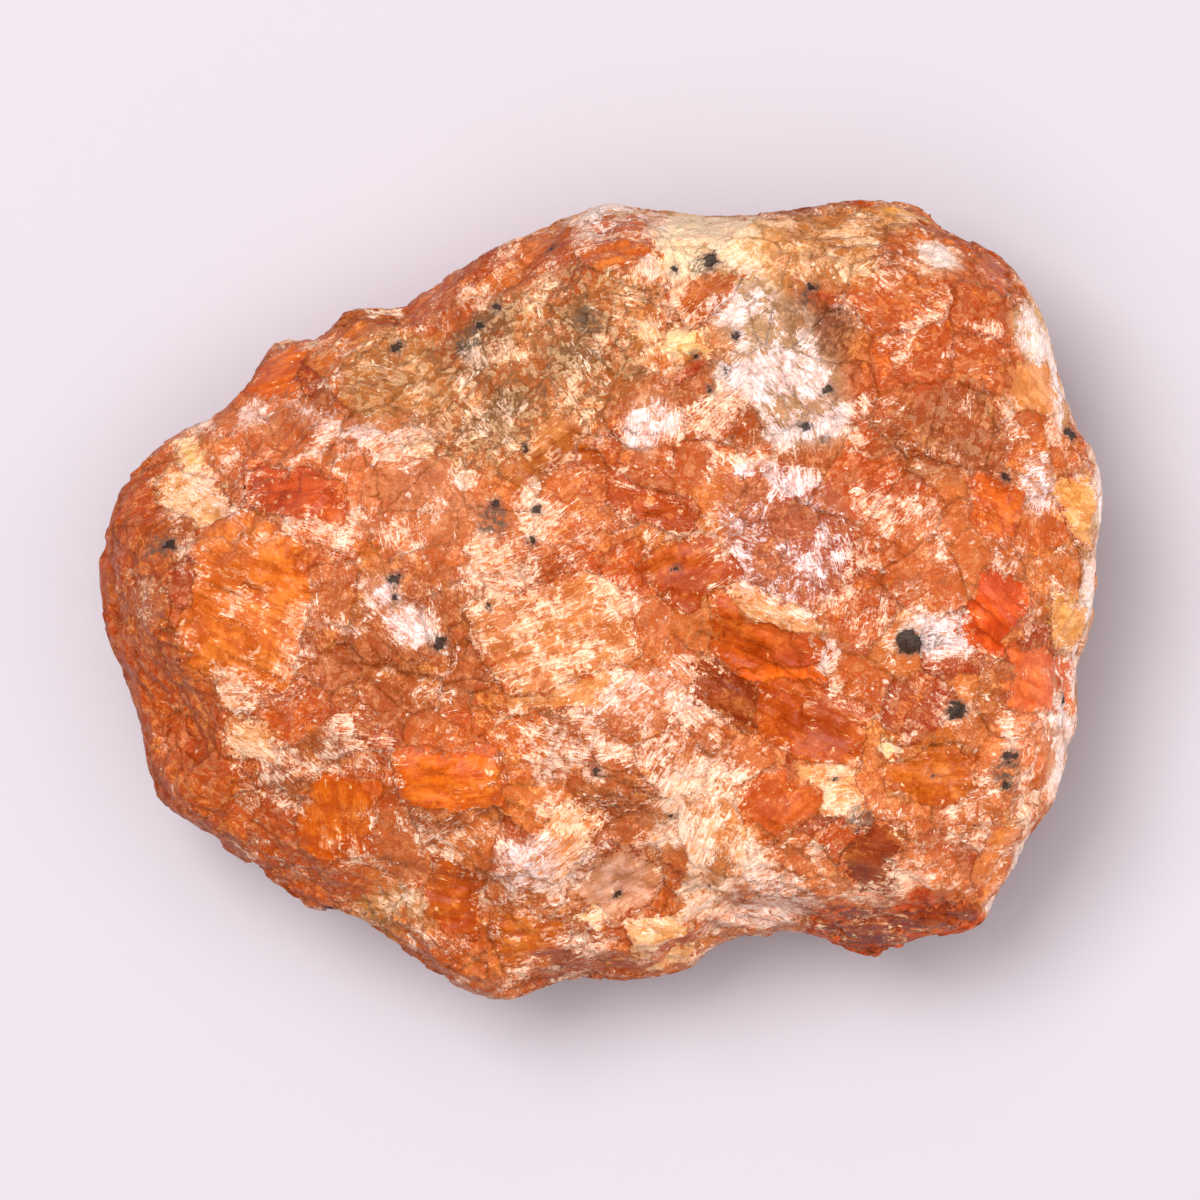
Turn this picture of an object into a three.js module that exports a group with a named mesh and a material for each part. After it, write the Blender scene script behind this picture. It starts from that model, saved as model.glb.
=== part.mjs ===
// A rough lump of orchid calcite: one broken stone that lies on a small flat spot with its best face up.
// Millimetres, +Z up. The origin is on the ground, under the middle of the stone.
import * as THREE from "three";
import { mergeVertices } from "three/addons/utils/BufferGeometryUtils.js";

// Driving dimensions.
const LENGTH = 70.2; // left to right
const DEPTH = 56; // front to back
const HEIGHT = 29; // flat spot to the highest ridge
const HEART_HEIGHT = 13; // middle height of the rim, where the stone is widest, above the ground
const SPLITS = 21; // an icosahedron face is split into (SPLITS + 1)^2 triangles

// The stone seen from above: corners and dents of the broken rim, anticlockwise from the right.
const RIM = [
  [34.9, 1.0], [34.4, 3.6], [34.9, 5.0], [35.1, 7.2], [34.7, 9.8], [33.4, 12.0], [32.5, 14.2],
  [31.7, 17.0], [31.4, 18.4], [30.7, 20.2], [29.5, 22.0], [28.9, 23.3], [27.9, 24.1], [26.5, 24.9],
  [24.5, 25.5], [23.6, 26.2], [23.0, 27.3], [22.1, 27.9], [20.6, 28.0], [16.4, 27.8], [14.0, 27.2],
  [11.2, 27.3], [10.1, 26.8], [7.2, 26.8], [3.7, 27.2], [0.8, 27.8], [-2.1, 26.8], [-4.9, 25.6],
  [-6.4, 24.8], [-7.9, 24.4], [-9.0, 23.3], [-10.0, 23.1], [-11.6, 21.9], [-13.2, 21.1], [-13.9, 19.9],
  [-15.2, 20.4], [-16.8, 20.6], [-17.9, 20.2], [-19.0, 18.9], [-20.1, 18.3], [-21.8, 18.4], [-22.9, 18.1],
  [-24.4, 15.5], [-26.1, 13.1], [-28.9, 12.0], [-31.3, 10.4], [-33.4, 8.0], [-34.4, 5.3], [-35.1, 2.4],
  [-34.9, -0.2], [-34.3, -3.2], [-33.2, -5.4], [-32.3, -8.0], [-31.8, -10.4], [-31.7, -12.6],
  [-31.1, -13.8], [-29.8, -15.0], [-28.5, -15.3], [-25.8, -17.8], [-24.1, -18.8], [-22.4, -20.6],
  [-20.5, -21.6], [-18.4, -21.7], [-17.0, -22.1], [-15.2, -23.3], [-12.6, -25.5], [-10.2, -26.9],
  [-8.0, -27.7], [-6.3, -27.9], [-4.6, -27.5], [-3.4, -27.0], [-2.2, -26.8], [0.4, -26.7], [4.1, -26.4],
  [6.5, -25.8], [7.3, -24.8], [8.4, -24.1], [10.1, -23.6], [11.4, -23.7], [12.3, -23.2], [15.0, -23.3],
  [17.5, -24.5], [19.4, -25.1], [20.5, -25.1], [21.0, -24.2], [22.7, -23.5], [24.6, -23.3], [26.4, -23.4],
  [27.0, -22.6], [27.4, -21.0], [28.7, -19.2], [29.8, -16.8], [31.9, -14.1], [32.6, -11.6], [33.5, -8.2],
  [33.1, -5.0], [34.3, -2.0],
];

// A broken face of the top: a point on it, the compass way it falls (0 to the right, 90 to the back) and its
// fall. Each lump is bounded by its faces, and the top of the stone is the highest of its lumps.
const LUMPS = [
  {
    name: "table", // the broad face and its shoulders
    faces: [
      [6, 2, 26.6, -20, 0.05],
      [-2.5, 15.4, 26.0, 126, 0.48], // the brown slope at the back left
      [14, 21.5, 26.3, 84, 0.36], // the cream slope at the back
      [27.5, 16, 25.2, 32, 0.5], // the back right shoulder
      [29.5, 2, 25.2, 2, 0.62], // the right shoulder
      [25, -14, 24.6, -42, 0.5], // the front right shoulder
      [10, -15.5, 25.0, 268, 0.42], // the front
      [20, -21.6, 21.6, 266, 1.5], // the undercut red face at the front right
      [-24, -12, 24.0, 222, 0.55], // the front left shoulder
    ],
  },
  {
    name: "left_boss",
    faces: [
      [-21, 3, 27.6, 205, 0.1],
      [-19, 11.7, 27.2, 76, 0.9], // its back, which stands over the brown slope
      [-11.2, 9.0, 26.8, 50, 0.8],
      [-31.3, 3, 26.0, 176, 2.0], // the dark face on the left edge
      [-29.6, 10.2, 26.0, 138, 1.3],
      [-16.5, 2.4, 27.4, 318, 0.34], // its front, down into the valley
      [-24, -4.8, 27.0, 282, 0.55],
    ],
  },
  {
    name: "front_block",
    faces: [
      [-10, -10, 26.6, 92, 0.22],
      [-10, -10.2, 26.6, 266, 0.5], // the orange front face
      [-20, -11.2, 25.4, 218, 0.7],
      [-0.5, -10.2, 26.4, -28, 0.4],
    ],
  },
  {
    name: "back_ridge", // the frosted ridge along the back edge
    faces: [
      [3, 23, 27.4, 88, 0.5],
      [3, 23, 27.4, 262, 0.34],
      [-1, 22, 26.8, 160, 0.5],
      [10, 24, 26.4, 10, 0.3],
    ],
  },
];

// Cleavage blocks that show on the top: a middle, half sizes, a turn in degrees, how far the block stands up
// (or lies sunk) and the rise of its face along its length and across it.
const BLOCKS = [
  { name: "stepped_block", at: [-2.6, -2.0], half: [5.4, 4.2], turn: 16, stand: 0.9, rise: [-0.05, 0.1] },
  { name: "deep_window", at: [11.6, -3.7], half: [3.9, 1.8], turn: -27, stand: -1.5, rise: [0.04, 0.22] },
  { name: "dark_window", at: [10.4, -6.3], half: [2.6, 1.5], turn: -24, stand: -1.3, rise: [0.1, -0.1] },
  { name: "boss_window", at: [-25.6, -0.2], half: [5.4, 4.4], turn: 22, stand: 0.8, rise: [0.05, 0.08] },
  { name: "boss_step", at: [-18.4, 9.2], half: [5.2, 2.0], turn: -14, stand: 0.9, rise: [0.02, 0.1] },
  { name: "front_window", at: [-9.6, -12.7], half: [4.6, 2.6], turn: 4, stand: 0.8, rise: [0.02, 0.05] },
  { name: "front_left_window", at: [-17.4, -14.4], half: [3.6, 3.6], turn: -8, stand: -0.8, rise: [0.1, 0] },
  { name: "low_window", at: [-11.6, -20.0], half: [4.0, 2.4], turn: -12, stand: -0.9, rise: [-0.1, 0.1] },
  { name: "smoky_window", at: [1.6, -19.6], half: [3.6, 3.0], turn: 40, stand: -1.2, rise: [0.1, -0.08] },
  { name: "banded_block", at: [4.4, -23.6], half: [2.3, 1.9], turn: 8, stand: 1.0, rise: [0, 0.1] },
  { name: "triangle_window", at: [12.0, -14.2], half: [2.6, 2.6], turn: 45, stand: -0.9, rise: [0.12, 0.06] },
  { name: "amber_window", at: [22.2, -12.2], half: [3.4, 2.2], turn: 4, stand: -0.8, rise: [-0.06, 0.1] },
  { name: "red_wedge", at: [27.4, 1.4], half: [2.6, 3.4], turn: 30, stand: 0.9, rise: [0.12, -0.1] },
  { name: "rim_window", at: [32.6, 6.8], half: [1.8, 2.8], turn: 6, stand: 0.6, rise: [-0.2, 0] },
  { name: "salmon_block", at: [30.2, -5.8], half: [3.2, 2.4], turn: -14, stand: 0.8, rise: [-0.1, 0.05] },
  { name: "back_right_block", at: [27.2, 21.4], half: [2.6, 2.6], turn: -30, stand: 0.7, rise: [0.05, 0.1] },
  { name: "back_left_block", at: [-22.0, 16.2], half: [1.9, 2.2], turn: -8, stand: 0.9, rise: [0.1, 0.05] },
  { name: "violet_pocket", at: [13.2, 17.6], half: [4.4, 3.2], turn: -34, stand: -1.7, rise: [0.08, 0.12] },
  { name: "violet_dent", at: [16.2, 1.6], half: [3.6, 3.0], turn: -20, stand: -0.8, rise: [0.06, -0.1] },
  { name: "gold_block", at: [5.4, 17.2], half: [3.0, 2.0], turn: 20, stand: 0.7, rise: [0, 0.1] },
  { name: "middle_block", at: [4.6, 6.2], half: [4.2, 2.6], turn: 24, stand: 0.7, rise: [0.04, 0.08] },
];

// How the rim wanders up and down round the stone: waves to a turn, height, and the compass way of a crest.
const RIM_WAVES = [
  { waves: 1, height: 1.8, crest: 70 },
  { waves: 2, height: 1.5, crest: 15 },
  { waves: 5, height: 1.1, crest: 100 },
];

// Broken faces of the sides: the compass way each one looks, how far it looks down (or up, below zero), and
// how far it starts from the rim.
const SIDE_CUTS = [
  [8, 34, 3.0], [38, 24, 1.2], [70, 38, 2.6], [102, 22, 0.6], [134, 36, 2.2], [160, 20, 0.4],
  [190, 38, 1.8], [218, 26, 0.6], [248, 40, 2.0], [276, 22, 0.4], [304, 34, 1.4], [332, 28, 0.6],
  [355, 14, 0.2], [120, 12, 0.2], [18, -34, 2.6], [52, -26, 1.6], [88, -30, 2.4], [128, -40, 2.0],
  [152, -24, 1.0], [182, -22, 0.4], [212, -34, 2.2], [240, -24, 1.4], [268, -38, 3.4], [296, -22, 1.2],
  [322, -36, 3.2], [350, -22, 1.4],
];

// Broken faces round the flat spot: the compass way, how far it looks down, and how far out it leaves the
// ground.
const FOOT_CUTS = [
  [22, 62, 15.5], [66, 55, 13.0], [112, 68, 9.5], [158, 58, 14.0], [204, 66, 12.5], [246, 54, 11.0],
  [292, 66, 10.5], [338, 58, 15.0],
];

// Large crystal grains, each broken along its own plane, and smaller grains on top of them: their size, how
// far their planes lean, and the seeds of their middles and leans.
const GRAIN = { cell: 10, tilt: 0.26, seed: 41, leanSeed: 18 };
const CRUMB = { cell: 4.2, tilt: 0.24, seed: 23, leanSeed: 30 };
const GRAIN_STEP_SHARPNESS = 22; // higher is a narrower step between two grains
const EDGE_WEAR = 0.35; // how far the meeting of two top faces is rounded
const BLOCK_EDGE = 0.7; // width of the step round a cleavage block
const SHOULDER = 11; // higher is a squarer top edge
const BELLY = 4; // higher is a squarer underside

const radians = (degrees) => (degrees * Math.PI) / 180;
const clamp = (value, low, high) => Math.min(high, Math.max(low, value));
const smooth = (t) => t * t * (3 - 2 * t);

// The rim's corners in order of compass angle, then its reach from the middle and its height at any angle.
const corners = RIM.map(([x, y]) => ({ angle: Math.atan2(y, x), reach: Math.hypot(x, y) })).sort(
  (a, b) => a.angle - b.angle,
);
function rimReach(angle) {
  const turn = 2 * Math.PI;
  const next = corners.findIndex((corner) => corner.angle > angle);
  const b = corners[next < 0 ? 0 : next];
  const a = corners.at((next < 0 ? 0 : next) - 1);
  const share = ((angle - a.angle + turn) % turn) / ((b.angle - a.angle + turn) % turn);
  return a.reach + (b.reach - a.reach) * share;
}
function rimHeight(angle) {
  const swing = ({ waves, height, crest }) => height * Math.cos(waves * (angle - radians(crest)));
  return RIM_WAVES.reduce((total, wave) => total + swing(wave), HEART_HEIGHT);
}

// The lower of two heights, rounded where they meet. A negative wear gives the higher one.
function meet(a, b, wear) {
  const share = clamp(0.5 + (b - a) / (2 * wear), 0, 1);
  return b + (a - b) * share - wear * share * (1 - share);
}

function faceHeight([px, py, pz, way, fall], x, y) {
  return pz - fall * ((x - px) * Math.cos(radians(way)) + (y - py) * Math.sin(radians(way)));
}

function blockHeight(block, x, y) {
  const turn = radians(block.turn);
  const dx = x - block.at[0];
  const dy = y - block.at[1];
  const along = dx * Math.cos(turn) + dy * Math.sin(turn);
  const across = dy * Math.cos(turn) - dx * Math.sin(turn);
  const inside = Math.min(block.half[0] - Math.abs(along), block.half[1] - Math.abs(across));
  const share = smooth(clamp(0.5 + inside / BLOCK_EDGE, 0, 1));
  return share * (block.stand + along * block.rise[0] + across * block.rise[1]);
}

// The top of the stone, above the ground.
function topHeight(x, y) {
  const lumps = LUMPS.map(({ faces }) =>
    faces.map((face) => faceHeight(face, x, y)).reduce((a, b) => meet(a, b, EDGE_WEAR)),
  );
  const bare = lumps.reduce((a, b) => meet(a, b, -EDGE_WEAR));
  return BLOCKS.reduce((height, block) => height + blockHeight(block, x, y), bare);
}

// Three random numbers from 0 to 1 that belong to a place in a lattice. The strides only have to be unlike
// each other.
const LATTICE_STRIDES = new THREE.Vector3(127.1, 311.7, 74.7);
const SEED_STRIDE = 53.3;
const AXIS_STRIDE = 19.19;
const SCATTER = 43758.5453;
function lattice(place, seed) {
  return new THREE.Vector3(...[1, 2, 3].map((axis) => {
    const wave = Math.sin(place.dot(LATTICE_STRIDES) + seed * SEED_STRIDE + axis * AXIS_STRIDE) * SCATTER;
    return wave - Math.floor(wave);
  }));
}

// How far the stone's skin stands out at a point, because each crystal grain is broken along its own plane.
// Near grains share the point, and the nearest one has nearly all of it, so that grains meet in narrow steps.
function grainRelief(point, { cell, tilt, seed, leanSeed }) {
  const home = point.clone().divideScalar(cell).floor();
  let shares = 0;
  let relief = 0;
  for (let i = -1; i <= 1; i++)
    for (let j = -1; j <= 1; j++)
      for (let k = -1; k <= 1; k++) {
        const place = new THREE.Vector3(i, j, k).add(home);
        const offset = point.clone().sub(lattice(place, seed).add(place).multiplyScalar(cell));
        const lean = lattice(place, leanSeed).multiplyScalar(2).subScalar(1).multiplyScalar(tilt);
        const share = Math.exp((-GRAIN_STEP_SHARPNESS * offset.length()) / cell);
        shares += share;
        relief += share * offset.dot(lean);
      }
  return relief / shares;
}

// Where a direction from the stone's heart lands before it is broken: the rim's outline, the top and the
// belly. The angle from the pole is spread evenly along the skin, so that the triangles stay alike in size.
const FLAT_SHARE = 0.72; // share of the way from a pole to the rim that lies on the flat, not on the side
const FLAT_REACH = 0.9; // share of the rim's reach where the flat ends
const POLE_BELOW_GROUND = -2; // the belly is cut off flat at the ground
const fromPole = (direction) => Math.acos(Math.abs(direction.z)) / (Math.PI / 2);
const sideShare = (direction) => Math.max(0, (fromPole(direction) - FLAT_SHARE) / (1 - FLAT_SHARE));
function bodyPoint(direction) {
  const angle = Math.atan2(direction.y, direction.x);
  const flat = Math.min(1, fromPole(direction) / FLAT_SHARE);
  const toRim = 1 - sideShare(direction);
  const out = FLAT_REACH * flat + (1 - FLAT_REACH) * (1 - toRim * toRim);
  const drop = Math.sqrt(1 - out ** (direction.z > 0 ? SHOULDER : BELLY));
  const x = out * rimReach(angle) * Math.cos(angle);
  const y = out * rimReach(angle) * Math.sin(angle);
  const pole = direction.z > 0 ? topHeight(x, y) : POLE_BELOW_GROUND;
  return new THREE.Vector3(x, y, rimHeight(angle) + (pole - rimHeight(angle)) * drop);
}

// The broken faces as unit normals, each with its distance from the heart of the stone.
const heart = new THREE.Vector3(0, 0, HEART_HEIGHT);
function looking(way, down) {
  const level = new THREE.Vector3(Math.cos(radians(way)), Math.sin(radians(way)), 0);
  return level.multiplyScalar(Math.cos(radians(down))).setZ(-Math.sin(radians(down)));
}
function rimPoint({ angle, reach }) {
  return new THREE.Vector3(reach * Math.cos(angle), reach * Math.sin(angle), rimHeight(angle));
}
const sidePlanes = SIDE_CUTS.map(([way, down, start]) => {
  const looks = looking(way, down);
  const rim = corners.map((corner) => rimPoint(corner).sub(heart).dot(looks));
  return { looks, distance: Math.max(...rim) + Math.sin(radians(Math.abs(down))) * start };
});
const footPlanes = FOOT_CUTS.map(([way, down, out]) => ({
  looks: looking(way, down),
  distance: Math.cos(radians(down)) * out + Math.sin(radians(down)) * HEART_HEIGHT,
}));

// Pulls a point in towards the heart until it is behind every broken face.
function breakOff(point) {
  const arm = point.clone().sub(heart);
  for (const { looks, distance } of [...sidePlanes, ...footPlanes]) {
    const reach = arm.dot(looks);
    if (reach > distance) arm.multiplyScalar(distance / reach);
  }
  return arm.add(heart);
}

// Moves the nearest point of the ball onto each corner of the rim, so that the corners stay sharp.
function keepCorners(place) {
  const point = new THREE.Vector3();
  for (const { angle } of corners) {
    const corner = new THREE.Vector3(Math.cos(angle), Math.sin(angle), 0);
    let nearest = { distance: Infinity };
    for (let i = 0; i < place.count; i++) {
      const distance = point.fromBufferAttribute(place, i).distanceTo(corner);
      if (distance < nearest.distance) nearest = { distance, i };
    }
    place.setXYZ(nearest.i, corner.x, corner.y, corner.z);
  }
}

// The way in which the grains stand out at a direction: up or down on the flats and outward nearer the rim,
// where the relief dies away because the outline is given.
function wayOut(direction) {
  const side = sideShare(direction);
  const rim = new THREE.Vector3(direction.x, direction.y, 0).normalize().multiplyScalar(side);
  return rim.setZ(Math.sign(direction.z) * (1 - side)).normalize().multiplyScalar(1 - smooth(side));
}

// The whole stone as one closed skin.
function stoneGeometry() {
  const ball = new THREE.IcosahedronGeometry(1, SPLITS);
  ball.deleteAttribute("normal");
  ball.deleteAttribute("uv");
  const skin = mergeVertices(ball, 1e-5);
  const place = skin.getAttribute("position");
  keepCorners(place);
  const direction = new THREE.Vector3();
  for (let i = 0; i < place.count; i++) {
    direction.fromBufferAttribute(place, i).normalize();
    const point = breakOff(bodyPoint(direction));
    point.addScaledVector(wayOut(direction), grainRelief(point, GRAIN) + grainRelief(point, CRUMB));
    place.setXYZ(i, point.x, point.y, Math.max(0, point.z));
  }
  return toSize(skin);
}

// Brings the broken stone to its driving dimensions, over the origin, with its flat spot on the ground.
function toSize(skin) {
  skin.computeBoundingBox();
  const size = skin.boundingBox.getSize(new THREE.Vector3());
  const middle = skin.boundingBox.getCenter(new THREE.Vector3());
  skin.translate(-middle.x, -middle.y, -skin.boundingBox.min.z);
  skin.scale(LENGTH / size.x, DEPTH / size.y, HEIGHT / size.z);
  skin.computeVertexNormals();
  return skin;
}

const calcite = new THREE.MeshStandardMaterial({ color: 0xd97a4a, roughness: 0.5, metalness: 0 });
const stone = new THREE.Mesh(stoneGeometry(), calcite);
stone.name = "calcite_stone";

const part = new THREE.Group();
part.add(stone);
export default part;
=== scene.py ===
# %% [markdown]
# # Rough orchid calcite
# A lump of calcite, broken and never polished. Its look comes from how calcite breaks: each crystal grain
# splits along its own flat cleavage planes, so the surface is a crowd of small steps, smooth orange windows
# and pale flakes. This lesson starts from the plain CAD stone, makes a finer copy of it, breaks that copy
# into grains and steps, says where each colour lies, and ends with the light.

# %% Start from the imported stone
import math
from itertools import product

import bpy
import numpy as np
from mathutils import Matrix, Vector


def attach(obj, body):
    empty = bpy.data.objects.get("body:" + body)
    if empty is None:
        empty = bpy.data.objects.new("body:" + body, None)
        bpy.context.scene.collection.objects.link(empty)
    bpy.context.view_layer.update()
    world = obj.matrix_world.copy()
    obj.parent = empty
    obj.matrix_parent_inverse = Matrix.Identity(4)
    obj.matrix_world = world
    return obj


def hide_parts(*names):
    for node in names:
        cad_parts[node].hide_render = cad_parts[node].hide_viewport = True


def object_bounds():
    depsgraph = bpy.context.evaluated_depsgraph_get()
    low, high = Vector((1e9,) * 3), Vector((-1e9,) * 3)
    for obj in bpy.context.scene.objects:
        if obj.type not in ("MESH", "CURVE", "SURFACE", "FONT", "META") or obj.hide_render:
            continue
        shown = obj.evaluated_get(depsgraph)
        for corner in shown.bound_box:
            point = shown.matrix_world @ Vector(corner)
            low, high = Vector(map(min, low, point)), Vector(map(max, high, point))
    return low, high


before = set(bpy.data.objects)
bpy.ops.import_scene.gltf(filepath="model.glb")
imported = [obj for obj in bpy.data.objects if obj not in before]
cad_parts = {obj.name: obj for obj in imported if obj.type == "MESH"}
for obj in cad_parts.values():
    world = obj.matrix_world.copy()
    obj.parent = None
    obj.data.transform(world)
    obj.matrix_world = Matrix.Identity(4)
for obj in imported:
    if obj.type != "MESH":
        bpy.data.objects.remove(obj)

MM = 0.001
cad_low, cad_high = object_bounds()
cad_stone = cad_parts["calcite_stone"]
print("CAD stone in mm:", [round((b - a) / MM, 1) for a, b in zip(cad_low, cad_high)])

# %% [markdown]
# ## The camera
# The photograph looks straight down on the stone. A long lens from far away keeps the sides of the stone
# hidden, as they are there. The width of the view is set where the stone is widest, at its rim.

# %% Look straight down
VIEW_WIDTH = 84.0 * MM
RIM_HEIGHT = 13.0 * MM
CAMERA_HEIGHT = 800.0 * MM
SENSOR_WIDTH = 36.0

eye = bpy.data.cameras.new("camera")
eye.sensor_width = SENSOR_WIDTH
eye.lens = SENSOR_WIDTH * (CAMERA_HEIGHT - RIM_HEIGHT) / VIEW_WIDTH
camera = bpy.data.objects.new("camera", eye)
camera.location = (0.0, 0.0, CAMERA_HEIGHT)
bpy.context.scene.collection.objects.link(camera)
bpy.context.scene.camera = camera
print("lens in mm:", round(eye.lens, 1))

# %% [markdown]
# ## A finer copy of the stone
# The CAD stone has facets of more than a millimetre, and real cleavage steps are a few tenths. Subdividing
# it three times gives points 0.15 mm apart, close enough to hold those steps. The copy is welded first,
# because an imported mesh has its facets apart.

# %% Subdivide the stone
WELD_REACH = 0.002 * MM
SUBDIVISIONS = 3


def applied(thing, name):
    """A new mesh of the object with its modifiers applied."""
    ready = thing.evaluated_get(bpy.context.evaluated_depsgraph_get())
    made = bpy.data.meshes.new_from_object(ready)
    made.name = name
    return made


stone = bpy.data.objects.new("rough_stone", cad_stone.data.copy())
bpy.context.scene.collection.objects.link(stone)
weld = stone.modifiers.new("weld", "WELD")
weld.merge_threshold = WELD_REACH
round_off = stone.modifiers.new("round_off", "SUBSURF")
round_off.levels = SUBDIVISIONS
stone.data = applied(stone, "rough_stone")
stone.modifiers.clear()


def read_vectors(values, field):
    flat = np.empty(len(values) * 3, np.float32)
    values.foreach_get(field, flat)
    return flat.reshape(-1, 3).astype(float)


points = read_vectors(stone.data.vertices, "co") / MM
outward = read_vectors(stone.data.vertices, "normal")
print("points on the fine stone:", len(points))

# %% [markdown]
# ## Chance that repeats
# Everything random here comes from scrambling whole numbers: the same place always gives the same number,
# so the stone is the same each time. From that come a soft noise, and crystal grains, which are the cells
# round scattered points.

# %% Noise and grains
def scramble(place, seed):
    """One number from 0 to 1 for each row of whole numbers."""
    strides = np.array([73856093, 19349663, 83492791], np.int64)
    mixed = (place.astype(np.int64) * strides).sum(axis=1) + seed * 2654435761
    mixed = (mixed ^ (mixed >> 15)) * 2246822519 & 0xFFFFFFFF
    mixed = (mixed ^ (mixed >> 13)) * 3266489917 & 0xFFFFFFFF
    return ((mixed ^ (mixed >> 16)) & 0xFFFFFF) / float(0xFFFFFF)


def scramble_vector(place, seed):
    return np.stack([scramble(place, seed + axis) for axis in range(3)], axis=1)


def noise(at, size, seed):
    """Soft noise from -1 to 1 whose bumps are about size across."""
    scaled = at / size
    corner = np.floor(scaled).astype(np.int64)
    share = scaled - corner
    share = share * share * (3 - 2 * share)
    total = np.zeros(len(at))
    for step in product((0, 1), repeat=3):
        weight = np.prod(np.where(step, share, 1 - share), axis=1)
        total += weight * scramble(corner + np.array(step), seed)
    return 2 * total - 1


def noise_vector(at, size, seed):
    return np.stack([noise(at, size, seed + 10 * axis) for axis in range(3)], axis=1)


def grain_of(at, size, seed):
    """The number of the crystal grain that each point lies in."""
    home = np.floor(at / size).astype(np.int64)
    nearest = np.full(len(at), np.inf)
    grain = np.zeros(len(at), np.int64)
    for step in product((-1, 0, 1), repeat=3):
        place = home + np.array(step)
        middle = (place + scramble_vector(place, seed)) * size
        distance = np.linalg.norm(at - middle, axis=1)
        nearer = distance < nearest
        nearest[nearer] = distance[nearer]
        grain[nearer] = (scramble(place, seed + 7)[nearer] * 0xFFFFFF).astype(np.int64)
    return grain


def ramp(value, start, end):
    """0 below start, 1 above end, and a smooth climb between them."""
    share = np.clip((value - start) / (end - start), 0, 1)
    return share * share * (3 - 2 * share)


wandered = points + 0.3 * noise_vector(points, 3.0, 20) + 0.15 * noise_vector(points, 0.8, 60)
GRAIN_SIZE = 4.6
grain = grain_of(wandered, GRAIN_SIZE, 5)
print("crystal grains on the surface:", len(np.unique(grain)))
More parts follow.
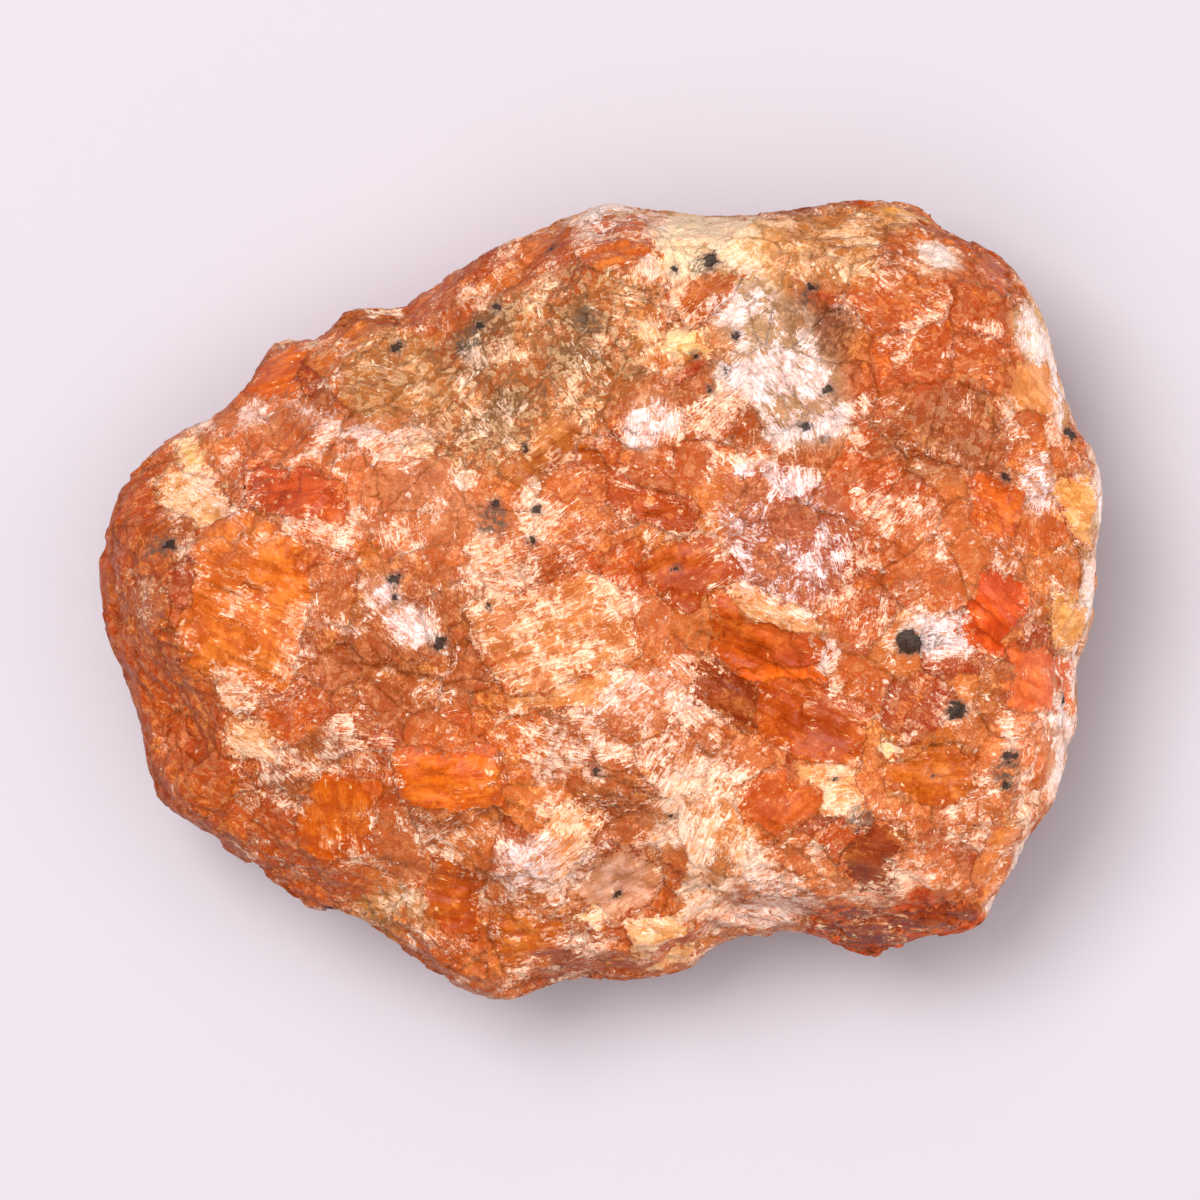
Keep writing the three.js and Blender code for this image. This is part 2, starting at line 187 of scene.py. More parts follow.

# %% [markdown]
# ## Windows
# A window is a grain that broke along one clean plane: smooth, glossy and deep in colour. The clearest
# windows are what make this stone itself, so they are listed one by one, in millimetres from its middle:
# half sizes, the turn of the cleavage lines, a colour, and how much pale flaking covers it.

# %% The windows and where they lie
WINDOWS = [
    ("boss_window", (-24.4, -0.1), (4.2, 5.5), -22, "orange", 0.42),
    ("boss_red", (-21.1, 7.4), (3.1, 1.6), -6, "deep_red", 0.3),
    ("boss_cream_steps", (-27.6, 6.6), (2.9, 1.6), -38, "cream", 0.75),
    # This row paints a highlight: a small pale yellow glint of light on the flakes, drawn into the colour.
    ("boss_glint", (-28.1, 9.7), (0.9, 1.1), 10, "yellow", 0.8),
    ("left_window", (-31.6, 0.0), (1.4, 1.7), 0, "amber", 0.4),
    ("back_left_window", (-22.6, 16.2), (2.1, 2.0), -12, "bright_orange", 0.1),
    ("back_red", (1.3, 24.8), (2.2, 1.7), 20, "orange_red", 0.3),
    ("back_right_yellow", (21.8, 26.9), (1.7, 0.8), -4, "pale_amber", 0.3),
    ("red_window", (27.4, 23.1), (1.4, 1.2), -40, "red_orange", 0.2),
    ("right_orange", (30.0, 14.7), (2.2, 1.5), -10, "cream_orange", 0.2),
    ("rim_window", (33.5, 6.2), (1.2, 2.2), 8, "pale_amber", 0.2),
    ("rim_red", (27.3, 6.4), (1.7, 2.0), -20, "red_orange", 0.3),
    ("vivid_window", (27.2, -0.8), (1.8, 2.5), -34, "vivid", 0.15),
    ("rim_pale", (32.3, -1.5), (1.3, 1.7), -20, "pale_amber", 0.4),
    ("salmon_window", (30.8, -5.7), (2.8, 1.9), -8, "vivid_salmon", 0.2),
    ("amber_dot", (-0.7, 10.2), (0.9, 1.2), 0, "amber", 0.1),
    ("centre_red", (3.5, 6.7), (3.1, 1.3), -16, "deep_orange", 0.3),
    ("centre_orange", (6.2, 2.0), (2.8, 2.4), 30, "deep_orange", 0.15),
    ("stepped_block", (-2.9, -2.4), (5.0, 3.6), 18, "step_orange", 0.65),
    ("stepped_block_low", (-2.4, -6.6), (4.2, 0.7), 18, "cream_orange", 0.5),
    ("peach_band", (12.0, -0.6), (2.8, 0.9), -27, "peach", 0.6),
    ("bright_window", (11.5, -3.1), (4.0, 2.0), -28, "deep_amber", 0.0),
    ("glowing_band", (12.5, -4.9), (3.5, 1.2), -29, "glowing_orange", 0.0),
    ("dark_window", (8.7, -6.5), (2.4, 1.8), -27, "dark_red", 0.1),
    ("mottled_window", (14.4, -8.3), (3.8, 2.5), -24, "deep_orange", 0.25),
    ("triangle_window", (12.3, -13.8), (2.0, 2.2), 45, "red_orange", 0.25),
    ("amber_window", (22.8, -12.3), (2.8, 1.6), 4, "amber", 0.0),
    ("line_window", (16.0, -13.0), (1.7, 1.8), 10, "cream_orange", 0.7),
    ("front_window", (-10.2, -12.2), (3.3, 2.1), 4, "bright_orange", 0.1),
    ("front_left_window", (-18.0, -14.8), (2.6, 2.6), 80, "front_amber", 0.3),
    ("cream_point", (-24.3, -9.9), (1.8, 1.3), -20, "cream_orange", 0.8),
    ("white_point", (-2.7, -16.7), (2.8, 1.7), 48, "pale_orange", 0.85),
    ("smoky_window", (1.4, -20.0), (2.8, 2.0), 40, "smoky", 0.25),
    ("low_window", (-9.8, -20.7), (2.0, 2.0), -14, "brown_orange", 0.05),
    ("low_brown", (-4.6, -24.2), (2.4, 2.2), -10, "amber", 0.4),
    ("banded_window", (4.4, -23.8), (2.0, 1.8), 8, "band_cream", 0.72),
    ("rim_orange", (27.7, -18.3), (1.2, 2.4), -28, "pale_orange", 0.35),
    ("deep_red_corner", (19.0, -17.5), (1.7, 2.0), -20, "dark_red", 0.3),
    # This row is partly the stone's own dark red and partly painted shade on the face that turns down at the
    # front right.
    ("under_red", (21.4, -23.1), (5.6, 1.7), 4, "dark_red", 0.35),
    # The next three rows paint highlights: small pale yellow glints of light on the flakes, drawn into the
    # colour.
    ("gold_glint", (6.2, 17.7), (1.4, 0.8), 10, "yellow", 0.8),
    ("amber_glint", (20.4, -10.0), (0.8, 0.6), 0, "yellow", 0.8),
    ("front_glint", (-0.6, -22.2), (0.8, 0.7), 30, "yellow", 0.8),
    ("back_orange", (7.0, 21.0), (2.1, 1.4), 40, "amber", 0.5),
    ("slope_orange", (-3.9, 10.5), (2.8, 1.4), 40, "amber_brown", 0.4),
]
CLEAVAGE_SLANT = math.tan(math.radians(12))


def within(at, middle, half, turn, squareness):
    """How far inside a slanted oblong a point lies, 1 in its middle and 0 on its edge."""
    angle = math.radians(turn)
    dx = at[:, 0] - middle[0]
    dy = at[:, 1] - middle[1]
    across = dy * math.cos(angle) - dx * math.sin(angle)
    along = dx * math.cos(angle) + dy * math.sin(angle) + CLEAVAGE_SLANT * across
    sides = np.abs(along) / half[0], np.abs(across) / half[1]
    return 1 - (sides[0] ** squareness + sides[1] ** squareness) ** (1 / squareness)


print("named windows:", len(WINDOWS))

# %% [markdown]
# The edges of a window wander a little, and a window ends where the stone turns down at its rim. Where two
# windows overlap, a point belongs to the one that it lies deeper in.

# %% Find the window each point lies in
UPPER_SIDE = 9.0
STEEPEST = 0.32
SQUARE = 6
OVAL = 2
wavy = points + 0.65 * noise_vector(points, 2.6, 120) + 0.25 * noise_vector(points, 0.9, 150)
upper_side = points[:, 2] > UPPER_SIDE
room = 5 * (outward[:, 2] - STEEPEST)
depth = np.full(len(points), -3.0)
nearest_window = np.zeros(len(points), np.int64)
for number, (name, middle, half, turn, colour, flaking) in enumerate(WINDOWS):
    inside = np.minimum(within(wavy, middle, half, turn, SQUARE) * min(half) + 0.15, room)
    deeper = (inside > depth) & upper_side
    depth[deeper] = inside[deeper]
    nearest_window[deeper] = number
window_of = np.where(depth > 0, nearest_window, -1)
print("share of the stone that is a named window:", round(float((window_of >= 0).mean()), 3))

# %% [markdown]
# ## Breaking each grain along its planes
# Calcite has three sets of cleavage planes, 75 degrees apart. One of them lies near the broken face, and
# the other two cut it into long slanted blocks. So each grain gets a plane that leans a little from the
# surface, and each block of the grain is moved onto that plane. Neighbouring blocks end up at slightly
# different heights, which makes the straight steps of a real break.

# %% Cut grains into blocks
def unit(vectors):
    return vectors / np.maximum(np.linalg.norm(vectors, axis=1, keepdims=True), 1e-9)


def mean_by(group, values):
    count = np.bincount(group)
    return np.stack([np.bincount(group, column) for column in values.T], axis=1) / count[:, None]


def pick(number, seed):
    """One number from 0 to 1 for each whole number."""
    return scramble(np.stack([number, number * 0, number * 0], axis=1), seed)


def pick_vector(number, seed):
    return np.stack([pick(number, seed + axis) for axis in range(3)], axis=1)


names, crystal = np.unique(np.where(window_of >= 0, -1 - window_of, grain), return_inverse=True)
is_window = names < 0
LEAN = 0.24
WINDOW_LEAN = 0.12
lean = np.where(is_window, WINDOW_LEAN, LEAN)[:, None] * (pick_vector(names, 47) * 2 - 1)
plane = unit(mean_by(crystal, outward) + lean)
line = pick_vector(names, 31) - 0.5
turns = np.radians([window[3] for window in WINDOWS])[-1 - names[is_window]]
line[is_window] = np.stack([np.cos(turns), np.sin(turns), 0 * turns], axis=1)
along = unit(line - plane * (line * plane).sum(axis=1, keepdims=True))
across = np.cross(plane, along)

block_width = np.where(is_window, 1.0, 0.5 + 0.8 * pick(names, 53))
block_length = np.where(is_window, 4.0, 1.2 + 2.4 * pick(names, 59))
run_across = (points * across[crystal]).sum(axis=1)
run_along = (points * along[crystal]).sum(axis=1)
lath = np.floor(run_across / block_width[crystal] + 0.15 * noise(points, 0.9, 170)).astype(np.int64)
stagger = pick(lath * 977 + names[crystal], 61)
slanted = run_along + CLEAVAGE_SLANT * run_across
piece = np.floor(slanted / block_length[crystal] + stagger).astype(np.int64)
block_name = scramble(np.stack([lath, piece, names[crystal]], axis=1), 67) * 0xFFFFFF
block_name, block = np.unique(block_name.astype(np.int64), return_inverse=True)
print("cleavage blocks:", len(block_name))

# %% [markdown]
# Each block keeps its own mean height along the plane of its grain, with a small chance step added, and its
# points move there. No point moves far, so the main form stays as the CAD stone has it.

# %% Move the blocks onto their planes
height = (points * plane[crystal]).sum(axis=1)
STEP = 0.13
WINDOW_STEP = 0.05
step = np.where(is_window, WINDOW_STEP, STEP)
crystal_of_block = np.zeros(len(block_name), np.int64)
crystal_of_block[block] = crystal
level = mean_by(block, height[:, None])[:, 0] + step[crystal_of_block] * (2 * pick(block_name, 71) - 1)
facing = np.maximum((outward * plane[crystal]).sum(axis=1), 0.5)
MOST_MOVE = 0.26
move = np.clip((level[block] - height) / facing, -MOST_MOVE, MOST_MOVE)
print("mean move in mm:", round(float(np.abs(move).mean()), 3))

# %% [markdown]
# ## Crumbs, and a whole foot
# Between the windows the break is rough, with crumbs of a few tenths of a millimetre, and small chips are
# missing along the rim. The foot keeps the flat spot that the stone lies on, and nothing may pass the box
# of the CAD stone.

# %% Add the crumbs and thin the mesh
rough = 1 - 0.8 * ramp(depth, -0.1, 0.3)
crumbs = 0.06 * noise(points, 1.2, 200) + 0.06 * noise(points, 0.55, 210) + 0.03 * noise(points, 0.3, 220)
chips = 0.4 * ramp(noise(points, 1.7, 230), 0.0, 0.7) * ramp(np.abs(outward[:, 2]), 0.7, 0.2)
off_ground = ramp(points[:, 2], 0.2, 1.5)
RIM_SHARE = 0.45
upright = RIM_SHARE + (1 - RIM_SHARE) * ramp(np.abs(outward[:, 2]), 0.1, 0.6)
moved = points + outward * (((0.9 * move + rough * crumbs) * upright - chips) * off_ground)[:, None]
lowest = np.array(cad_low) / MM
highest = np.array(cad_high) / MM
moved = np.clip(moved, lowest, highest)
stone.data.vertices.foreach_set("co", (moved * MM).astype(np.float32).ravel())
stone.data.update()

# %% [markdown]
# ## The colours of the ground
# Between the windows the colour changes slowly: brown on the back slope, ochre and cream along the back,
# lilac in the pocket, salmon and orange elsewhere. These too are listed one by one, with soft edges. The last
# two numbers are how much pale flaking lies there and whether it is cream (0) or lilac white (1). SIDES are
# patches that reach down the steep sides, and EARTHY says where brown and beige crumbs are mixed in.

# %% The ground and where its colours lie
COLOURS = {
    "salmon": (0.88, 0.51, 0.30),
    "under_red": (0.95, 0.38, 0.14),
    "bright_salmon": (0.97, 0.59, 0.40),
    "rose": (0.90, 0.61, 0.50),
    "orange": (0.86, 0.45, 0.14),
    "bright_orange": (0.87, 0.40, 0.04),
    "glowing_orange": (0.97, 0.46, 0.03),
    "deep_orange": (0.73, 0.30, 0.05),
    "orange_red": (0.81, 0.39, 0.11),
    "red_orange": (0.82, 0.37, 0.11),
    "vivid": (0.88, 0.33, 0.09),
    "vivid_salmon": (0.93, 0.46, 0.24),
    "deep_red": (0.78, 0.29, 0.10),
    "dark_red": (0.56, 0.21, 0.07),
    "dark_orange": (0.82, 0.38, 0.08),
    "orange_brown": (0.84, 0.39, 0.06),
    "brown_orange": (0.73, 0.31, 0.03),
    "front_amber": (0.83, 0.38, 0.04),
    "amber": (0.74, 0.35, 0.03),
    "amber_brown": (0.75, 0.43, 0.18),
    "pale_amber": (0.94, 0.70, 0.42),
    "pale_orange": (0.90, 0.54, 0.27),
    "cream_orange": (0.92, 0.64, 0.41),
    "peach": (0.94, 0.68, 0.48),
    "cream": (0.93, 0.70, 0.47),
    "pale_cream": (1.0, 0.94, 0.79),
    "white": (1.0, 0.95, 0.91),
    "step_orange": (0.81, 0.50, 0.30),
    "yellow": (0.97, 0.84, 0.58),
    "deep_amber": (0.80, 0.33, 0.02),
    "grey_lilac": (0.81, 0.75, 0.73),
    "ochre": (0.87, 0.63, 0.40),
    "beige": (0.86, 0.66, 0.47),
    "salmon_brown": (0.76, 0.42, 0.21),
    "brown_salmon": (0.72, 0.38, 0.18),
    "slope_brown": (0.79, 0.52, 0.33),
    "mauve_grey": (0.62, 0.50, 0.42),
    "lilac": (0.85, 0.64, 0.58),
    "violet_rose": (0.76, 0.43, 0.35),
    "plum": (0.50, 0.30, 0.24),
    "olive_grey": (0.55, 0.44, 0.33),
    "smoky": (0.91, 0.69, 0.60),
    "band_cream": (0.99, 0.78, 0.56),
}
GROUND = [
    ("back_slope", (-4.9, 15.8), (10.5, 5.5), 38, "slope_brown", 0.45, 0.1),
    ("back_slope_left", (-14.0, 15.1), (3.5, 3.2), 30, "ochre", 0.5, 0.1),
    ("back_ridge", (2.8, 25.2), (4.9, 2.4), -6, "pale_orange", 0.6, 0.4),
    ("cream_back", (8.1, 24.4), (4.9, 3.9), 0, "pale_cream", 0.95, 0.2),
    ("ochre_crumbs", (17.5, 24.6), (7.0, 2.8), 4, "ochre", 0.65, 0.1),
    ("grey_patch_left", (-8.8, 17.9), (2.8, 2.0), 30, "olive_grey", 0.3, 0.4),
    ("grey_patch_middle", (-0.6, 19.4), (2.0, 1.3), 10, "olive_grey", 0.2, 0.3),
    ("grey_patch_low", (-2.0, 16.7), (2.0, 1.3), 10, "olive_grey", 0.2, 0.3),
    ("grey_slope", (-7.2, 12.5), (2.4, 1.2), 50, "olive_grey", 0.3, 0.3),
    # This patch is partly cream flaking and partly a painted highlight, the glitter of light on those flakes.
    ("gold_sparkle", (6.0, 17.4), (2.9, 1.5), 10, "cream", 0.9, 0.0),
    ("violet_pocket", (11.3, 19.5), (4.2, 3.0), -20, "grey_lilac", 0.88, 0.85),
    ("grey_pocket", (13.2, 20.2), (1.4, 1.5), 0, "mauve_grey", 0.4, 0.8),
    # This patch is painted shade: a dark plum patch in the hollow of the pocket.
    ("pocket_shade", (15.9, 18.3), (2.2, 1.8), -50, "plum", 0.15, 0.8),
    ("violet_flakes", (13.0, 14.8), (4.2, 3.4), -20, "grey_lilac", 0.8, 0.9),
    ("back_right", (24.5, 19.6), (6.3, 6.0), -40, "orange_red", 0.32, 0.3),
    ("right_rim_frost", (30.4, 18.9), (1.4, 4.0), -25, "white", 0.95, 0.9),
    ("white_chip", (23.5, 23.4), (1.0, 0.8), 30, "white", 1.0, 0.9),
    ("right_brown", (23.8, 11.2), (4.9, 3.5), 10, "brown_salmon", 0.12, 0.3),
    ("right_flakes", (30.8, 7.4), (1.4, 2.1), -20, "lilac", 0.95, 1.0),
    ("right_middle", (24.5, 2.8), (4.2, 4.2), 0, "salmon", 0.5, 0.4),
    ("centre_flakes", (12.6, 4.9), (4.8, 4.6), -30, "violet_rose", 0.58, 1.0),
    ("centre_left", (-9.1, 4.2), (6.3, 4.2), 20, "salmon", 0.6, 0.3),
    ("centre_amber", (4.2, 10.5), (5.6, 2.8), 20, "orange_red", 0.5, 0.3),
    ("valley", (-14.0, -2.8), (6.3, 6.3), 30, "salmon_brown", 0.26, 0.4),
    ("centre_low", (2.8, -9.8), (6.3, 3.5), 10, "salmon_brown", 0.6, 0.4),
    ("step_rose", (2.8, -6.3), (4.2, 2.1), 20, "rose", 0.7, 0.6),
    ("window_frost", (14.4, -2.8), (2.2, 2.0), 0, "lilac", 0.95, 0.7),
    ("right_salmon", (30.5, -10.6), (2.6, 4.4), 0, "bright_salmon", 0.68, 0.4),
    ("right_low", (26.6, -14.0), (4.2, 3.5), 0, "salmon", 0.5, 0.3),
    ("front_right_frost", (12.0, -21.0), (3.4, 2.8), 0, "rose", 0.85, 0.5),
    ("cream_streaks", (7.1, -16.7), (3.9, 5.0), -20, "peach", 0.9, 0.35),
    ("front_middle", (-2.8, -21.0), (4.2, 4.2), 0, "salmon_brown", 0.6, 0.4),
    ("beige_front", (-14.7, -21.4), (1.8, 2.5), 30, "beige", 0.6, 0.2),
    ("front_left", (-21.0, -18.2), (4.9, 3.5), -30, "orange_brown", 0.4, 0.2),
    ("left_low", (-28.0, -11.2), (3.5, 6.3), 28, "orange_brown", 0.2, 0.2),
    ("left_edge", (-33.8, 2.8), (2.0, 9.8), 4, "orange", 0.1, 0.2),
    ("boss_top", (-22.4, 9.6), (8.4, 4.5), -8, "bright_salmon", 0.72, 0.4),
    ("boss_ridge", (-20.3, 12.3), (7.7, 1.0), -4, "rose", 0.75, 0.7),
    ("valley_frost", (-14.6, -0.4), (1.8, 2.6), 20, "lilac", 0.95, 0.95),
    ("front_frost", (-5.3, -18.2), (1.8, 1.5), 30, "lilac", 0.95, 0.95),
    ("ridge_frost", (0.6, 26.8), (3.2, 1.3), -6, "white", 0.9, 0.8),
    ("amber_frost", (3.4, 12.0), (1.7, 1.9), -60, "lilac", 0.9, 0.9),
    ("speck_frost", (23.6, -2.6), (1.9, 1.6), 0, "lilac", 0.95, 0.95),
    ("left_frost", (-26.2, 5.6), (2.2, 1.2), -38, "lilac", 0.9, 0.8),
    ("boss_foot", (-11.9, 7.0), (2.8, 4.2), 40, "rose", 0.45, 0.5),
    ("front_right", (20.0, -19.5), (5.0, 2.6), 8, "bright_salmon", 0.6, 0.3),
]
SIDES = [
    ("under_side", (20.8, -23.6), (6.6, 2.8), 4, "under_red", -0.4, 0.1),
    ("left_side", (-33.8, 3.0), (3.4, 9.8), 4, "dark_orange", -0.1, 0.1),
]
EARTHY = {
    "back_slope": 1.0, "back_slope_left": 0.8, "grey_slope": 1.0, "grey_patch_left": 1.0,
    "grey_patch_middle": 1.0, "grey_patch_low": 1.0, "back_ridge": 0.6, "ochre_crumbs": 0.5,
    "right_brown": 0.4, "beige_front": 0.8, "violet_pocket": 0.4,
}
GRAIN_COLOURS = [
    "salmon", "orange_red", "salmon_brown", "orange", "deep_orange", "pale_orange", "orange_brown",
]
print("colours:", len(COLOURS), "patches:", len(GROUND) + len(SIDES))

# %% [markdown]
# Grains without a patch take one of a few common colours by chance. A patch mixes its colour over them and
# fades out at its edge. The rim at the right is a painted highlight, chalky white with pale flakes where it
# faces the light from the right. The faces that turn to the left get painted shade, a deeper orange with
# few flakes.

# %% Mix the ground colour
COMMON_FLAKING = 0.42
COMMON_LILAC = 0.3
COMMON_EARTH = 0.1
FADE = 1.4
PATCH_STRENGTH = 0.85
RIM_HIGHLIGHT_STRENGTH = 0.9
LEFT_SHADE_STRENGTH = 0.8


def linear(colour):
    """A colour as seen on a screen, as the amounts of light that Blender works with."""
    seen = np.array(colour)
    return np.where(seen <= 0.04045, seen / 12.92, ((seen + 0.055) / 1.055) ** 2.4)


palette = np.array([linear(COLOURS[name]) for name in GRAIN_COLOURS])
ground = palette[(pick(names, 73) * len(palette) * 0.999).astype(int)][crystal]
frost = np.full(len(points), COMMON_FLAKING)
tint = np.full(len(points), COMMON_LILAC)
earth = np.full(len(points), COMMON_EARTH)
on_top = ramp(points[:, 2], 8.5, 12.0) * ramp(outward[:, 2], -0.2, 0.15)
drifted = points + 1.1 * noise_vector(points, 3.2, 240) + 0.5 * noise_vector(points, 1.1, 270)
low_down = ramp(points[:, 2], 2.0, 6.0)
for name, middle, half, turn, colour, flaking, lilac in GROUND + SIDES:
    soft_edge = FADE / min(half)
    share = ramp(within(drifted, middle, half, turn, OVAL), -soft_edge / 2, soft_edge / 2)
    share *= low_down if "side" in name else on_top
    ground += (PATCH_STRENGTH * share)[:, None] * (linear(COLOURS[colour]) - ground)
    frost += share * (flaking - frost)
    tint += share * (lilac - tint)
    earth += share * (EARTHY.get(name, COMMON_EARTH) - earth)
# Painted highlight: where the high rim faces right, towards the light from the right, the ground is painted
# chalky white with pale flakes.
high_up = ramp(points[:, 2] + 1.3 * noise(points, 2.0, 300), 11.0, 13.0)
rim_highlight = ramp(outward[:, 0], 0.78, 0.96) * high_up
rim_highlight *= 0.3 + 0.7 * ramp(noise(points, 1.6, 330), -0.5, 0.2)
frost += rim_highlight * (1.0 - frost)
tint += rim_highlight * (0.9 - tint)
ground += (RIM_HIGHLIGHT_STRENGTH * rim_highlight)[:, None] * (linear(COLOURS["white"]) - ground)
# Painted shade: faces that turn to the left, away from the light from the right, are painted a deeper orange
# with fewer flakes.
left_shade = ramp(-outward[:, 0], 0.4, 0.8) * ramp(points[:, 2], 3, 7)
frost += left_shade * (-0.1 - frost)
ground += (LEFT_SHADE_STRENGTH * left_shade)[:, None] * (linear(COLOURS["dark_orange"]) - ground)
window_ground = np.array([linear(COLOURS[window[4]]) for window in WINDOWS])[nearest_window]
window_frost = np.array([window[5] for window in WINDOWS])[nearest_window]
print("palest and deepest ground:", ground.max(axis=0).round(2), ground.min(axis=0).round(2))

# %% [markdown]
# ## Dark specks
# Small black grains of another mineral sit in the calcite, some with a grey smudge round them. Each has a
# place and a radius in millimetres.

# %% The specks and smudges
SPECKS = [
    (21.3, -2.9, 1.0), (24.6, -7.7, 0.7), (32.1, -6.9, 0.4), (28.3, -10.8, 0.6), (28.1, -12.7, 0.4),
    (16.2, -12.5, 0.4), (23.0, -11.9, 0.3), (-11.1, -2.9, 0.6), (-14.1, 1.5, 0.5), (-14.1, -0.1, 0.4),
    (5.3, 2.0, 0.4), (-4.3, 6.2, 0.4), (-4.8, 4.1, 0.4), (-5.0, 10.5, 0.3), (-7.6, -0.5, 0.4),
    (14.1, 11.9, 0.5), (15.7, 14.6, 0.4), (14.6, 21.7, 0.4), (7.7, 23.4, 0.6), (5.1, 22.9, 0.4),
    (-3.3, 24.4, 0.4), (-7.2, 20.2, 0.4), (-8.4, 19.0, 0.4), (9.4, 18.3, 0.4), (8.4, 15.8, 0.4),
    (7.6, 14.5, 0.3), (6.6, 16.9, 0.3), (32.6, 11.5, 0.6), (28.1, 8.5, 0.4), (-0.1, -11.7, 0.4),
    (1.2, -20.4, 0.5), (4.8, -14.9, 0.3), (-29.7, 3.8, 0.5), (-14.1, 17.5, 0.5), (-18.8, -21.7, 0.5),
    (-7.2, 6.6, 0.4),
]
SMUDGES = [
    (-7.4, 5.5, 1.5), (17.9, -15.1, 1.3), (-30.5, 3.6, 1.4), (-9.1, 17.9, 1.5), (7.0, 23.2, 1.3),
    (14.4, 21.0, 1.0), (28.0, -11.8, 1.3), (-0.7, 19.3, 1.3), (15.4, 11.2, 0.8), (22.8, -2.8, 1.1),
]


def spots(places):
    """How far in mm each point lies inside the nearest spot, below 0 outside."""
    nearest = np.full(len(points), -2.0)
    for x, y, radius in places:
        off_axis = np.hypot(points[:, 0] - x, points[:, 1] - y)
        height = np.median(points[(off_axis < 0.4) & upper_side, 2])
        nearest = np.maximum(nearest, radius - np.hypot(off_axis, points[:, 2] - height))
    return nearest


speck = spots(SPECKS)
smudge = spots(SMUDGES)
print("specks:", len(SPECKS), "smudges:", len(SMUDGES))

# %% [markdown]
# ## Handing the places to the material
# The colour, the flaking and the cleavage directions are written on the mesh as attributes, which the
# material reads. The third part of the lattice is a number that sets the streaks of one grain apart from
# the next.

# %% Write the attributes
def write(name, kind, field, values):
    layer = stone.data.attributes.new(name, kind, "POINT")
    layer.data.foreach_set(field, values.astype(np.float32).ravel())


opaque = np.ones(len(points))
write("ground", "FLOAT_COLOR", "color", np.column_stack([ground, opaque]))
write("window_ground", "FLOAT_COLOR", "color", np.column_stack([window_ground, opaque]))
for name, values in (
    ("frost", frost), ("window_frost", window_frost), ("tint", tint), ("earth", earth), ("depth", depth),
    ("speck", speck), ("smudge", smudge),
):
    write(name, "FLOAT", "value", values)
apart = 40 * pick(names, 83)[crystal]
write("lattice", "FLOAT_VECTOR", "vector", np.column_stack([run_across, run_along, apart]))
print("attributes:", [layer.name for layer in stone.data.attributes])

# %% [markdown]
# Thinning makes the piece light enough to share. Edges sharper than a gentle bend stay crisp, so the
# cleavage steps catch the light.

# %% Thin the mesh
KEPT_SHARE = 0.205
SHARP_ANGLE = 38
thin = stone.modifiers.new("thin", "DECIMATE")
thin.ratio = KEPT_SHARE
stone.data = applied(stone, "rough_stone_thin")
stone.modifiers.clear()
stone.data.polygons.foreach_set("use_smooth", [True] * len(stone.data.polygons))
stone.data.set_sharp_from_angle(angle=math.radians(SHARP_ANGLE))
print("triangles:", len(stone.data.loops) - 2 * len(stone.data.polygons))

# %% [markdown]
# ## Patterns for the material
# The finest marks are thinner than the mesh can hold, so the material draws them. A few helpers keep the
# node building short.

# %% Helpers for nodes
def add_node(tree, kind, links=(), **settings):
    """A new node. links are (input, socket or value)."""
    node = tree.nodes.new(kind)
    for name, value in settings.items():
        setattr(node, name, value)
    for name, source in links:
        if isinstance(source, bpy.types.NodeSocket):
            tree.links.new(source, node.inputs[name])
        else:
            node.inputs[name].default_value = source
    return node


def maths(tree, operation, first, second=0.0, third=None, clamp=False):
    """The result of a Math node."""
    links = [(0, first), (1, second)] + ([(2, third)] if third is not None else [])
    return add_node(tree, "ShaderNodeMath", links, operation=operation, use_clamp=clamp).outputs[0]


def times(tree, first, second):
    return maths(tree, "MULTIPLY", first, second)


def noise_of(tree, at, scale, detail, roughness=0.5):
    """A soft noise drawn in the space that at gives."""
    links = [("Vector", at), ("Scale", scale), ("Detail", detail), ("Roughness", roughness)]
    return add_node(tree, "ShaderNodeTexNoise", links).outputs


def cells_of(tree, at, scale):
    """The three chance numbers of each cell, and the distance to its middle in cell widths."""
    cells = add_node(tree, "ShaderNodeTexVoronoi", [("Vector", at), ("Scale", scale)]).outputs
    chances = add_node(tree, "ShaderNodeSeparateColor", [(0, cells["Color"])]).outputs
    return chances, cells["Distance"]


def climb(tree, value, start, end, low=0.0, high=1.0):
    """A smooth climb from low to high while value goes from start to end."""
    links = [("Value", value), ("From Min", start), ("From Max", end), ("To Min", low), ("To Max", high)]
    return add_node(tree, "ShaderNodeMapRange", links, interpolation_type="SMOOTHSTEP").outputs["Result"]


def blend(tree, share, first, second, how="MIX"):
    """Two colours mixed."""
    node = add_node(tree, "ShaderNodeMix", data_type="RGBA", blend_type=how, clamp_factor=True)
    for name, source in (("Factor_Float", share), ("A_Color", first), ("B_Color", second)):
        socket = next(s for s in node.inputs if s.identifier == name)
        if isinstance(source, bpy.types.NodeSocket):
            tree.links.new(source, socket)
        else:
            socket.default_value = source
    return next(s for s in node.outputs if s.identifier == "Result_Color")


def new_group(name, inputs, outputs):
    """A node group with named sockets, and its input and output nodes."""
    tree = bpy.data.node_groups.new(name, "ShaderNodeTree")
    for label, kind in inputs:
        tree.interface.new_socket(label, in_out="INPUT", socket_type=kind)
    for label in outputs:
        tree.interface.new_socket(label, in_out="OUTPUT", socket_type="NodeSocketFloat")
    return tree, tree.nodes.new("NodeGroupInput").outputs, tree.nodes.new("NodeGroupOutput").inputs


# %% [markdown]
# Two patterns do most of the work, each a node group with its own inputs. Fibres are thin wandering
# lines, the contour lines of a noise, broken into short lengths by a second noise. Each has a painted
# shadow line along one side, the shade that a raised flake casts. Streaks are soft bands along the
# cleavage of their grain.

